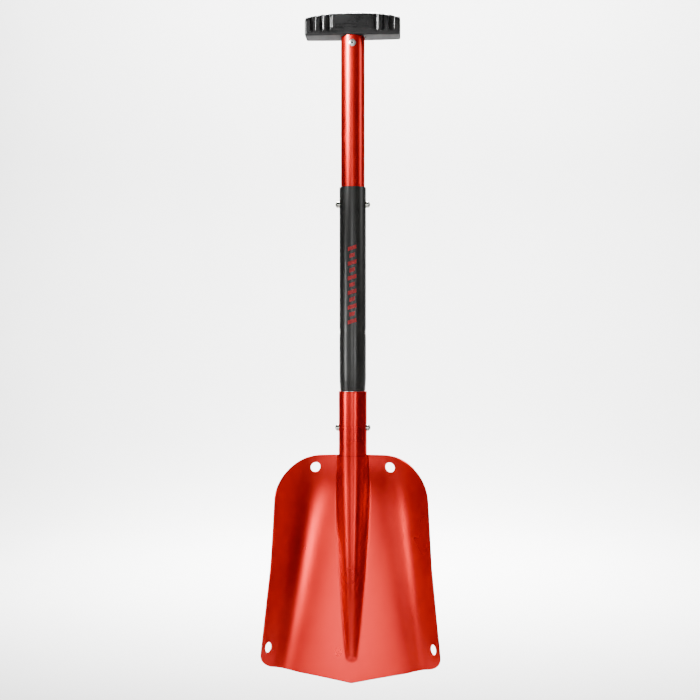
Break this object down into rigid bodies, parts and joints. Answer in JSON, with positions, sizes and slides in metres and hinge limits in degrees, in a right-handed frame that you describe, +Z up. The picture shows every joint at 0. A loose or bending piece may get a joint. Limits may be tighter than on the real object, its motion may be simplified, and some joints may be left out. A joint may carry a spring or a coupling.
{
  "type": "avalanche shovel",
  "caption": "Take-apart snow shovel: T-grip, telescoping shaft with snap buttons and a ridged aluminium scoop blade with corner holes.",
  "frame": {"origin": "on the shaft axis at the middle of the grip sleeve", "axes": "+Z up the shaft to the T-grip, -Y the front (hollow) side of the blade, +X across the blade"},
  "size_m": [0.2082, 0.0738, 0.7939],
  "materials": {
    "grip_plastic": "moulded black nylon, satin",
    "red_tube": "red anodised drawn tube, satin gloss",
    "red_blade": "red anodised pressed sheet, glossy",
    "bare_tube": "mill-finish drawn tube",
    "sleeve_black": "satin black shrink sleeve",
    "button_steel": "polished steel",
    "spring_steel": "blued spring steel strip",
    "rivet_metal": "bright rivet aluminium",
    "mandrel_steel": "dull steel"
  },
  "bodies": {
    "mid_shaft": {"mid_tube": "bare_tube", "grip_sleeve": "sleeve_black", "lower_spring": "spring_steel"},
    "upper_shaft": {"upper_tube": "red_tube", "t_grip": "grip_plastic", "handle_rivets": "rivet_metal", "rivet_mandrels": "mandrel_steel", "upper_spring": "spring_steel"},
    "blade_part": {"blade": "red_blade", "blade_socket": "red_blade"},
    "upper_left_button": {"upper_button_left": "button_steel"},
    "upper_right_button": {"upper_button_right": "button_steel"},
    "lower_left_button": {"lower_button_left": "button_steel"},
    "lower_right_button": {"lower_button_right": "button_steel"}
  },
  "joints": [
    {"name": "shaft_telescope", "type": "slide", "parent": "mid_shaft", "child": "upper_shaft", "axis": [0, 0, 1], "range_m": [-0.1524, 0], "deforming": ["upper_button_left", "upper_button_right"]},
    {"name": "blade_release", "type": "slide", "parent": "mid_shaft", "child": "blade_part", "axis": [0, 0, -1], "range_m": [0, 0.08], "deforming": ["lower_button_left", "lower_button_right"]},
    {"name": "press_upper_left_button", "type": "slide", "parent": "upper_shaft", "child": "upper_left_button", "axis": [1, 0, 0], "range_m": [0, 0.007], "stiffness_N_per_m": 900, "deforming": ["upper_spring"]},
    {"name": "press_upper_right_button", "type": "slide", "parent": "upper_shaft", "child": "upper_right_button", "axis": [-1, 0, 0], "range_m": [0, 0.007], "stiffness_N_per_m": 900, "deforming": ["upper_spring"]},
    {"name": "press_lower_left_button", "type": "slide", "parent": "mid_shaft", "child": "lower_left_button", "axis": [1, 0, 0], "range_m": [0, 0.007], "stiffness_N_per_m": 900, "deforming": ["lower_spring"]},
    {"name": "press_lower_right_button", "type": "slide", "parent": "mid_shaft", "child": "lower_right_button", "axis": [-1, 0, 0], "range_m": [0, 0.007], "stiffness_N_per_m": 900, "deforming": ["lower_spring"]}
  ]
}
